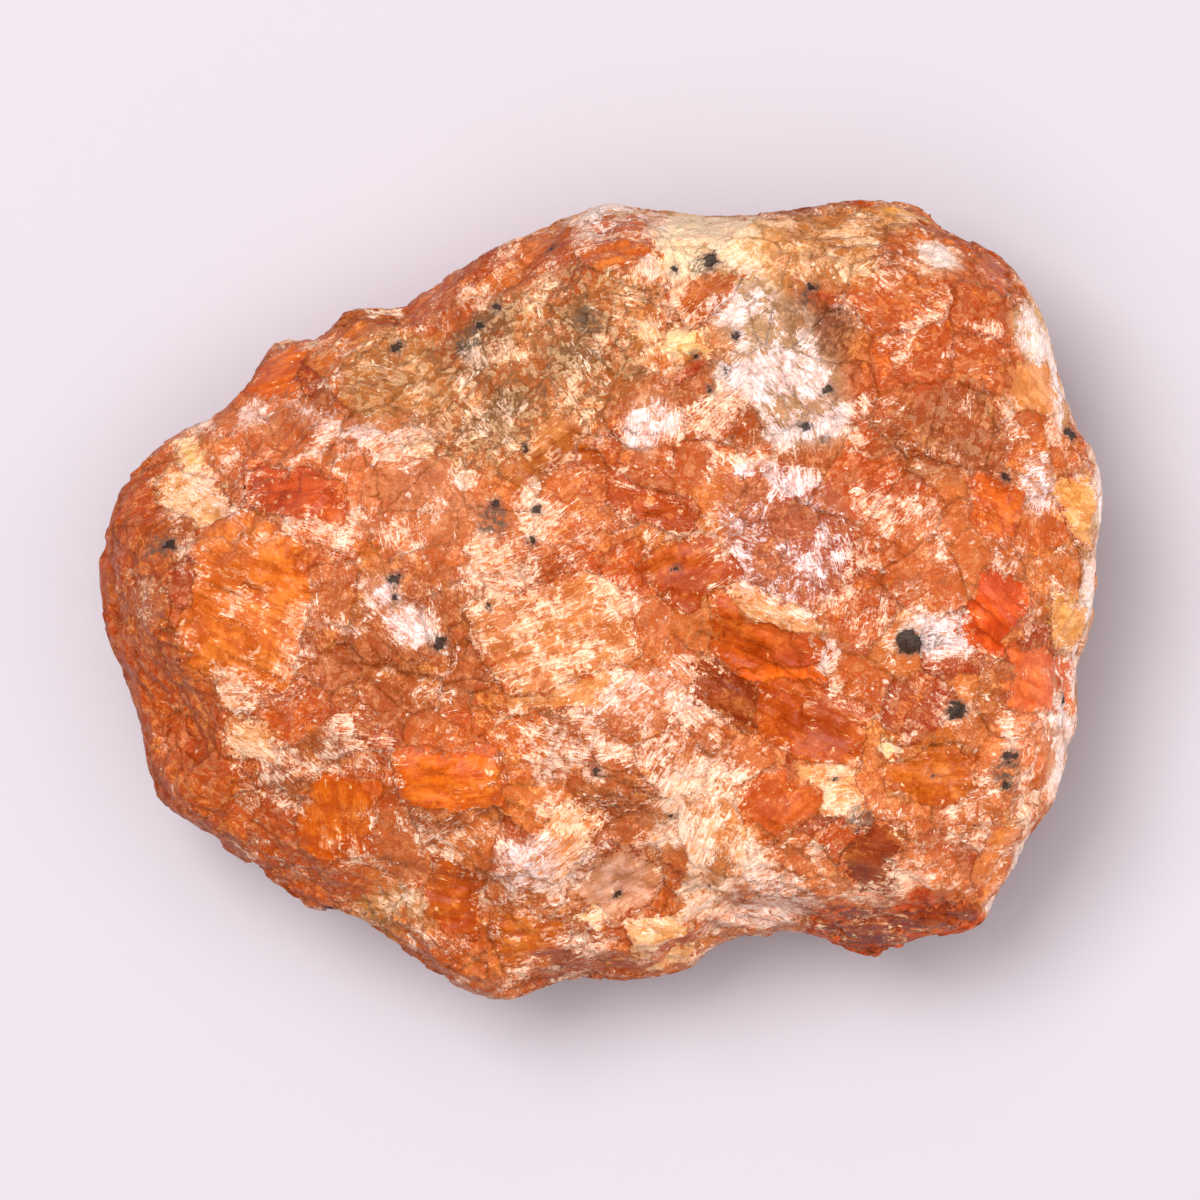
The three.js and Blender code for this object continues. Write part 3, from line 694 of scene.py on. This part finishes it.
# %% The two patterns
fibres, given, result = new_group(
    "fibres",
    [("Vector", "NodeSocketVector"), ("Fineness", "NodeSocketFloat"), ("Amount", "NodeSocketFloat"),
     ("Width", "NodeSocketFloat")],
    ["Flake", "Flake Shadow"],
)
wander = add_node(
    fibres, "ShaderNodeTexNoise",
    [("Vector", given["Vector"]), ("Scale", given["Fineness"]), ("Detail", 2.0), ("Roughness", 0.6)],
).outputs["Fac"]
broken = noise_of(fibres, given["Vector"], times(fibres, given["Fineness"], 1.3), 3.0, 0.75)["Fac"]
missing = maths(fibres, "SUBTRACT", 0.68, times(fibres, given["Amount"], 0.26))
lengths = climb(fibres, broken, missing, maths(fibres, "ADD", missing, 0.08))
LINE_LEVEL = 0.48
beside_level = maths(fibres, "ADD", LINE_LEVEL, given["Width"])
off_line = maths(fibres, "ABSOLUTE", maths(fibres, "SUBTRACT", wander, LINE_LEVEL))
beside = maths(fibres, "ABSOLUTE", maths(fibres, "SUBTRACT", wander, beside_level))
bright = climb(fibres, off_line, given["Width"], times(fibres, given["Width"], 0.4))
# The dark line beside each fibre is a painted shadow, the shade that a raised flake casts.
dark = climb(fibres, beside, times(fibres, given["Width"], 0.6), 0.0)
fibres.links.new(times(fibres, bright, lengths), result["Flake"])
fibres.links.new(times(fibres, dark, lengths), result["Flake Shadow"])

streaks, given, result = new_group(
    "streaks", [("Lattice", "NodeSocketVector"), ("Width", "NodeSocketFloat"), ("Length", "NodeSocketFloat")],
    ["Streak", "Vector X", "Vector Y", "Vector Z"],
)
parts = add_node(streaks, "ShaderNodeSeparateXYZ", [(0, given["Lattice"])]).outputs
narrow = maths(streaks, "DIVIDE", parts["X"], given["Width"])
slow = maths(streaks, "DIVIDE", parts["Y"], given["Length"])
squeezed = add_node(
    streaks, "ShaderNodeCombineXYZ", [("X", narrow), ("Y", slow), ("Z", parts["Z"])]
).outputs[0]
band = noise_of(streaks, squeezed, 1.0, 2.0, 0.6)["Fac"]
for name, value in (("Streak", band), ("Vector X", narrow), ("Vector Y", slow), ("Vector Z", parts["Z"])):
    streaks.links.new(value, result[name])

print("node groups:", [tree.name for tree in bpy.data.node_groups])

# %% [markdown]
# ## The calcite
# The material works in millimetres on the stone itself. A soft noise bends the space that most patterns are
# drawn in, so that no grain has a straight edge. The colours are warm and bright enough to stand for the
# little light that goes into calcite before it comes out.

# %% Start the material
BEND = 1.6


def attribute(tree, name, output):
    return add_node(tree, "ShaderNodeAttribute", attribute_name=name).outputs[output]


def use(tree, group, links):
    node = tree.nodes.new("ShaderNodeGroup")
    node.node_tree = group
    for name, source in links:
        if isinstance(source, bpy.types.NodeSocket):
            tree.links.new(source, node.inputs[name])
        else:
            node.inputs[name].default_value = source
    return node.outputs


def paint(colour):
    return (*linear(colour), 1.0)


calcite = bpy.data.materials.new("calcite")
calcite.use_nodes = True
tree = calcite.node_tree
shader = tree.nodes["Principled BSDF"]
place = add_node(tree, "ShaderNodeTexCoord").outputs["Object"]
place = add_node(
    tree, "ShaderNodeVectorMath", [(0, place), (1, (1 / MM,) * 3)], operation="MULTIPLY"
).outputs[0]
bend = noise_of(tree, place, 0.7, 2.0)["Color"]
bend = add_node(
    tree, "ShaderNodeVectorMath", [(0, bend), (1, (0.5,) * 3)], operation="SUBTRACT"
).outputs[0]
bent = add_node(
    tree, "ShaderNodeVectorMath", [(0, bend), (1, (BEND,) * 3), (2, place)], operation="MULTIPLY_ADD"
).outputs[0]
print("space bent in mm by:", BEND)

# %% [markdown]
# The mesh says how deep in a window each point lies. A noise frays that number, so a window has a ragged
# edge, and flakes are fewer inside it.

# %% Where the windows are
tatter = noise_of(tree, place, 1.6, 3.0, 0.75)["Fac"]
depth_here = maths(
    tree, "ADD", attribute(tree, "depth", "Fac"), climb(tree, tatter, 0.25, 0.75, -0.6, 0.6)
)
window = climb(tree, depth_here, 0.0, 0.25, 0.0, 0.92)
open_ground = maths(tree, "SUBTRACT", 1.0, window)
calm = climb(tree, window, 0.0, 1.0, 1.0, 0.25)
print("nodes for the windows:", len(tree.nodes))

# %% [markdown]
# Broken calcite is a crowd of grains of several sizes. Three sets of cells give the grains, the small
# grains and the crumbs a colour each, and soft noises vary them over wider stretches.

# %% The grains
cells, from_middle = cells_of(tree, bent, 0.42)
small_cells = cells_of(tree, bent, 1.25)[0]
cloudy = noise_of(tree, bent, 0.8, 4.0, 0.65)["Fac"]
cluster = noise_of(tree, place, 0.33, 4.0, 0.7)["Fac"]
mosaic, from_crumb = cells_of(tree, bent, 2.3)
broad = noise_of(tree, bent, 0.3, 2.0)["Fac"]
mottle = noise_of(tree, bent, 2.2, 3.0, 0.7)["Fac"]
print("nodes with the grains:", len(tree.nodes))

# %% [markdown]
# Flakes gather in clusters, on some grains more than on others, and a little in the corners between grains.
# In the windows they lie near the edge. The sum is one number from 0 to 1, the share of the surface that is
# pale.

# %% How much flaking there is
frost_here = maths(
    tree, "ADD", attribute(tree, "frost", "Fac"), climb(tree, cluster, 0.36, 0.64, -0.38, 0.3)
)
frost_here = maths(tree, "ADD", frost_here, climb(tree, cells[1], 0.0, 1.0, -0.26, 0.22))
frost_here = maths(tree, "ADD", frost_here, climb(tree, from_middle, 0.6, 0.85, 0.0, 0.12), clamp=True)
window_frost = maths(
    tree, "ADD", attribute(tree, "window_frost", "Fac"), climb(tree, cluster, 0.36, 0.64, -0.35, 0.25)
)
window_frost = maths(tree, "ADD", window_frost, climb(tree, depth_here, 0.6, 0.0, 0.0, 0.4), clamp=True)
in_windows = times(tree, window, window_frost)
patchy = maths(tree, "ADD", in_windows, times(tree, open_ground, frost_here))
print("nodes with the flaking:", len(tree.nodes))

# %% [markdown]
# The ground colour is broken up from coarse to fine: wide soft stretches, deeper and more golden grains,
# dusky grains, then clouds, and streaks along the cleavage.

# %% The colour of the grains
lattice = attribute(tree, "lattice", "Vector")
streaky = use(tree, streaks, [("Lattice", lattice), ("Width", 0.5), ("Length", 4.0)])
base = blend(tree, window, attribute(tree, "ground", "Color"), attribute(tree, "window_ground", "Color"))
full = climb(tree, patchy, 0.6, 1.0, 1.0, 0.35)
deep = blend(tree, full, base, paint((0.80, 0.65, 0.44)), "MULTIPLY")
golden = blend(tree, 0.45, base, paint((0.96, 0.64, 0.30)))
inner = climb(tree, from_middle, 0.8, 0.45, 0.35, 1.0)
deep_grain = times(tree, climb(tree, cells[0], 0.55, 0.75, 0.0, 0.9), open_ground)
deep_grain = times(tree, deep_grain, inner)
golden_grain = times(tree, climb(tree, cells[0], 0.35, 0.15, 0.0, 0.7), open_ground)
golden_grain = times(tree, golden_grain, inner)
deep_crumb = times(tree, climb(tree, small_cells[0], 0.55, 0.8, 0.0, 0.6), open_ground)
colour = blend(tree, climb(tree, broad, 0.5, 0.34, 0.0, 0.7), base, deep)
colour = blend(tree, climb(tree, broad, 0.5, 0.66, 0.0, 0.45), colour, golden)
colour = blend(tree, deep_grain, colour, deep)
colour = blend(tree, golden_grain, colour, golden)
colour = blend(tree, deep_crumb, colour, deep)
colour = blend(tree, climb(tree, cloudy, 0.54, 0.38, 0.0, 0.8), colour, deep)
dusky_grain = climb(tree, cells[2], 0.76, 0.84, 0.0, 0.6)
dusky_crumb = climb(tree, small_cells[1], 0.72, 0.78, 0.0, 0.55)
dusky = times(tree, maths(tree, "MAXIMUM", dusky_grain, dusky_crumb), open_ground)
colour = blend(tree, dusky, colour, paint((0.54, 0.26, 0.14)))
print("nodes with the grain colours:", len(tree.nodes))

# %% [markdown]
# Finer than that come the mottling, the darker rim of each window, and crumbs: deep and peach ones
# everywhere, brown and beige ones where the ground is earthy.

# %% The colour of the crumbs
colour = blend(tree, times(tree, climb(tree, mottle, 0.52, 0.36, 0.0, 0.9), calm), colour, deep)
colour = blend(tree, climb(tree, streaky["Streak"], 0.55, 0.36, 0.0, 0.6), colour, deep)
window_edge = times(tree, climb(tree, depth_here, 1.0, 0.2, 0.0, 0.55), window)
colour = blend(tree, window_edge, colour, deep)
colour = blend(tree, climb(tree, mottle, 0.55, 0.7, 0.0, 0.4), colour, golden)
deep_speckle = times(tree, climb(tree, mosaic[0], 0.6, 0.8, 0.0, 0.75), open_ground)
colour = blend(tree, deep_speckle, colour, deep)
peach_crumb = times(tree, climb(tree, mosaic[0], 0.4, 0.2, 0.0, 0.22), open_ground)
colour = blend(tree, peach_crumb, colour, paint((0.93, 0.63, 0.42)), "LIGHTEN")
earthy = times(tree, attribute(tree, "earth", "Fac"), open_ground)
brown_crumb = times(tree, climb(tree, mosaic[1], 0.68, 0.82, 0.0, 0.75), earthy)
colour = blend(tree, brown_crumb, colour, paint((0.47, 0.32, 0.20)))
beige_crumb = times(tree, climb(tree, mosaic[1], 0.34, 0.2, 0.0, 0.7), earthy)
colour = blend(tree, beige_crumb, colour, paint((0.78, 0.62, 0.46)))
print("nodes with the crumbs:", len(tree.nodes))

# %% [markdown]
# Where the surface has flaked, it is pale: a thin haze first, a thicker one inside it, then a sugary grain.
# Each is cream or lilac as the mesh says, and a warmer orange in the windows.

# %% The pale haze
tint_here = attribute(tree, "tint", "Fac")
feather = times(tree, climb(tree, streaky["Streak"], 0.54, 0.66, 0.0, 0.8), climb(tree, patchy, 0.2, 0.8))
feather = times(tree, feather, climb(tree, window, 0.0, 1.0, 0.5, 1.0))
haze_colour = blend(tree, tint_here, paint((0.94, 0.65, 0.44)), paint((0.89, 0.72, 0.68)))
thick_colour = blend(tree, tint_here, paint((0.98, 0.78, 0.59)), paint((0.95, 0.85, 0.84)))
flake_colour = blend(tree, tint_here, paint((1.0, 0.88, 0.73)), paint((1.0, 0.94, 0.95)))
warm = times(tree, window, climb(tree, patchy, 0.6, 0.3, 0.2, 0.85))
haze_colour = blend(tree, warm, haze_colour, paint((0.96, 0.62, 0.32)))
thick_colour = blend(tree, warm, thick_colour, paint((0.98, 0.70, 0.42)))
flake_colour = blend(tree, warm, flake_colour, paint((1.0, 0.80, 0.54)))
haze = noise_of(tree, bent, 1.5, 4.0, 0.74)["Fac"]
thin_haze = maths(tree, "SUBTRACT", haze, climb(tree, patchy, 0.0, 1.0, 0.68, 0.37))
thin_haze = maths(tree, "MAXIMUM", climb(tree, thin_haze, 0.0, 0.18, 0.0, 0.85), feather)
colour = blend(tree, thin_haze, colour, haze_colour, "LIGHTEN")
thick_haze = maths(tree, "SUBTRACT", haze, climb(tree, patchy, 0.0, 1.0, 0.76, 0.48))
colour = blend(tree, climb(tree, thick_haze, 0.0, 0.12, 0.0, 0.7), colour, thick_colour, "LIGHTEN")
sugar = noise_of(tree, place, 5.0, 2.0, 0.8)["Fac"]
sugar_share = times(tree, climb(tree, patchy, 0.0, 0.8, 0.1, 0.65), calm)
sugar_share = times(tree, climb(tree, sugar, 0.55, 0.66), sugar_share)
colour = blend(tree, sugar_share, colour, thick_colour, "LIGHTEN")
colour = blend(tree, times(tree, climb(tree, sugar, 0.48, 0.34, 0.0, 0.7), calm), colour, deep)
print("nodes with the haze:", len(tree.nodes))

# %% [markdown]
# Single flakes lie on the haze: felted fibres, fibres and short strokes that follow the cleavage, and
# crumbs. Thin cracks wander over the ground, painted dark as the shade in them, and each raised flake has a
# painted shadow line beside it.

# %% Flakes and cracks
felted = use(tree, fibres, [("Vector", bent), ("Fineness", 1.5), ("Amount", patchy), ("Width", 0.035)])
lined_up = add_node(
    tree, "ShaderNodeCombineXYZ",
    [("X", streaky["Vector X"]), ("Y", streaky["Vector Y"]), ("Z", streaky["Vector Z"])],
).outputs[0]
lined = use(tree, fibres, [("Vector", lined_up), ("Fineness", 1.3), ("Amount", patchy), ("Width", 0.04)])
crumb_share = times(tree, patchy, 0.2)
chosen = maths(tree, "LESS_THAN", mosaic[2], crumb_share)
crumb = times(tree, chosen, climb(tree, from_crumb, 0.5, 0.2))
short = use(tree, streaks, [("Lattice", lattice), ("Width", 0.15), ("Length", 0.9)])["Streak"]
stroke = climb(tree, maths(tree, "SUBTRACT", short, climb(tree, patchy, 0.0, 1.0, 0.74, 0.5)), 0.0, 0.07)
flake = maths(tree, "MAXIMUM", times(tree, felted["Flake"], 0.8), lined["Flake"])
flake = maths(tree, "MAXIMUM", flake, times(tree, stroke, 0.65))
flake = maths(tree, "MAXIMUM", flake, times(tree, crumb, 0.75))
flake_shadow = maths(tree, "MAXIMUM", felted["Flake Shadow"], lined["Flake Shadow"])
# Painted shade: thin dark red-brown lines where cracks run, drawn as the shade that falls in them.
off_crack = maths(tree, "ABSOLUTE", maths(tree, "SUBTRACT", cluster, 0.5))
crack_shade = times(tree, climb(tree, off_crack, 0.009, 0.0, 0.0, 0.5), climb(tree, cloudy, 0.55, 0.42))
crack_shade = times(tree, crack_shade, open_ground)
colour = blend(tree, crack_shade, colour, paint((0.45, 0.20, 0.09)))
# Painted shade: creases along the short streaks, mostly outside the windows, are darkened to the deep colour.
crease_shade = times(tree, climb(tree, short, 0.44, 0.34, 0.0, 0.7), climb(tree, window, 0.0, 1.0, 1.0, 0.4))
colour = blend(tree, crease_shade, colour, deep)
# Painted shadow: a dark red line beside each raised flake.
colour = blend(tree, times(tree, flake_shadow, 0.6), colour, paint((0.58, 0.22, 0.08)))
thickness = climb(tree, small_cells[2], 0.0, 1.0, 0.35, 0.95)
colour = blend(tree, times(tree, flake, thickness), colour, flake_colour)
print("nodes with the flakes:", len(tree.nodes))

# %% [markdown]
# Some windows broke in straight ledges. Each ledge is a pale line with a painted shadow line below it,
# a millimetre apart and a little uneven.

# %% Ledges
across_here = add_node(tree, "ShaderNodeSeparateXYZ", [(0, lattice)]).outputs["X"]
ledge_noise = noise_of(tree, bent, 0.45, 2.0, 0.6)["Fac"]
beat = maths(tree, "MULTIPLY_ADD", across_here, 0.95, times(tree, ledge_noise, 3.2))
beat = maths(tree, "FRACT", beat)
stepped = times(tree, window, climb(tree, attribute(tree, "window_frost", "Fac"), 0.3, 0.6))
stepped = times(tree, stepped, climb(tree, mottle, 0.44, 0.6, 0.05, 1.0))
# Painted shadow: the dark line below each ledge.
below = times(tree, climb(tree, beat, 0.7, 0.98, 0.0, 0.5), stepped)
ledge = times(tree, climb(tree, beat, 0.16, 0.02, 0.0, 0.65), stepped)
colour = blend(tree, below, colour, paint((0.66, 0.30, 0.12)))
colour = blend(tree, ledge, colour, flake_colour)
print("nodes with the ledges:", len(tree.nodes))

# %% [markdown]
# The dark specks have ragged outlines and a thin grey fringe. The smudges are broken up by the mottling.

# %% Specks
ragged = times(tree, maths(tree, "SUBTRACT", tatter, 0.5), 1.3)
smudge_mask = climb(tree, maths(tree, "ADD", attribute(tree, "smudge", "Fac"), ragged), -0.2, 0.8, 0.0, 0.9)
smudge_mask = times(tree, smudge_mask, climb(tree, mottle, 0.62, 0.4, 0.0, 1.0))
colour = blend(tree, smudge_mask, colour, paint((0.36, 0.29, 0.24)))
speck_depth = maths(tree, "ADD", attribute(tree, "speck", "Fac"), ragged)
colour = blend(tree, climb(tree, speck_depth, -0.35, 0.0, 0.0, 0.45), colour, paint((0.40, 0.33, 0.30)))
speck_mask = climb(tree, speck_depth, 0.0, 0.12)
colour = blend(tree, times(tree, speck_mask, 0.9), colour, paint((0.13, 0.10, 0.09)))
tree.links.new(colour, shader.inputs["Base Color"])
print("nodes with the specks:", len(tree.nodes))

# %% [markdown]
# Flakes are dull and windows glossy. The relief too fine for the mesh is a sugary grain, softer in the
# windows, and the streaks of the cleavage.

# %% Gloss and relief
RELIEF_DEPTH = 0.1 * MM
gloss = climb(tree, window, 0.0, 1.0, 0.48, 0.28)
dull = maths(tree, "ADD", gloss, times(tree, flake, 0.16), clamp=True)
dull = maths(tree, "ADD", dull, climb(tree, mosaic[1], 0.0, 1.0, -0.12, 0.12), clamp=True)
tree.links.new(dull, shader.inputs["Roughness"])
sugary = climb(tree, attribute(tree, "depth", "Fac"), -0.1, 0.3, 1.2, 0.45)
relief = maths(tree, "ADD", times(tree, sugar, sugary), streaky["Streak"])
bump = add_node(tree, "ShaderNodeBump", [("Height", relief), ("Strength", 0.8), ("Distance", RELIEF_DEPTH)])
tree.links.new(bump.outputs["Normal"], shader.inputs["Normal"])
shader.inputs["IOR"].default_value = 1.5
shader.inputs["Specular IOR Level"].default_value = 0.15
print("material nodes:", len(tree.nodes))

# %% [markdown]
# The finished piece takes the place of the CAD stone and rides on the same body, so that it can be reused
# as one part.

# %% Put the material on the stone
stone.data.materials.clear()
stone.data.materials.append(calcite)
stone.data.polygons.foreach_set("material_index", [0] * len(stone.data.polygons))
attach(stone, "root")
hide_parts("calcite_stone")
print("pieces with calcite:", stone.name)

# %% [markdown]
# ## The floor and the light
# The stone lies on a plain pale floor. In the photograph its shadow falls softly to the lower right, so one
# light at the upper left is for the floor alone, and is steep and wide to keep that shadow soft. The stone
# has three lights of its own: one nearly overhead, a weak one from the upper left, and a low one from the
# right for its bright rim. Light linking does that. A wide light overhead fills both.

# %% Floor and lights
FLOOR_COLOUR = (0.905, 0.875, 0.905)
floor_mesh = bpy.data.meshes.new("floor")
FLOOR_HALF = 1.5
corners = [(x * FLOOR_HALF, y * FLOOR_HALF, 0.0) for x, y in ((-1, -1), (1, -1), (1, 1), (-1, 1))]
floor_mesh.from_pydata(corners, [], [(0, 1, 2, 3)])
floor = bpy.data.objects.new("floor", floor_mesh)
bpy.context.scene.collection.objects.link(floor)
paper = bpy.data.materials.new("floor")
paper.use_nodes = True
finish = paper.node_tree.nodes["Principled BSDF"].inputs
finish["Base Color"].default_value = paint(FLOOR_COLOUR)
finish["Roughness"].default_value = 0.9
finish["Specular IOR Level"].default_value = 0.1
floor_mesh.materials.append(paper)
print("floor half width in m:", FLOOR_HALF)


def lamp(name, way, rise, distance, size, power, colour, gloss=1.0):
    """A square soft light that faces the stone from a compass way and a rise above the floor, in degrees."""
    light = bpy.data.lights.new(name, "AREA")
    light.size = size
    light.energy = power
    light.color = colour
    light.specular_factor = gloss
    thing = bpy.data.objects.new(name, light)
    level = math.cos(math.radians(rise)) * distance
    thing.location = (
        level * math.cos(math.radians(way)),
        level * math.sin(math.radians(way)),
        math.sin(math.radians(rise)) * distance,
    )
    thing.rotation_euler = (math.radians(90 - rise), 0, math.radians(way + 90))
    bpy.context.scene.collection.objects.link(thing)
    return thing


def only_for(light, thing):
    """Lets a light reach one object alone."""
    group = bpy.data.collections.new(light.name + "_reaches")
    group.objects.link(thing)
    light.light_linking.receiver_collection = group


lamp("overhead_light", 140, 86, 2.5, 3.0, 43.0, (1.0, 1.0, 1.0), gloss=0.05)
only_for(lamp("shadow_light", 140, 66, 3.0, 1.3, 41.0, (1.0, 1.0, 1.0)), floor)
only_for(lamp("stone_light", 0, 82, 2.0, 0.9, 29.1, (1.0, 0.99, 0.96), gloss=0.3), stone)
only_for(lamp("back_light", 145, 38, 2.0, 1.0, 14.0, (1.0, 0.98, 0.94), gloss=0.2), stone)
only_for(lamp("rim_light", 0, 16, 2.0, 0.5, 16.0, (1.0, 0.98, 0.97)), stone)
sky = bpy.data.worlds.new("sky")
sky.use_nodes = True
sky.node_tree.nodes["Background"].inputs["Color"].default_value = (0.97, 0.97, 1.0, 1.0)
sky.node_tree.nodes["Background"].inputs["Strength"].default_value = 0.24
bpy.context.scene.world = sky
bpy.context.scene.view_settings.view_transform = "Standard"
print("lamps:", [thing.name for thing in bpy.data.lights])
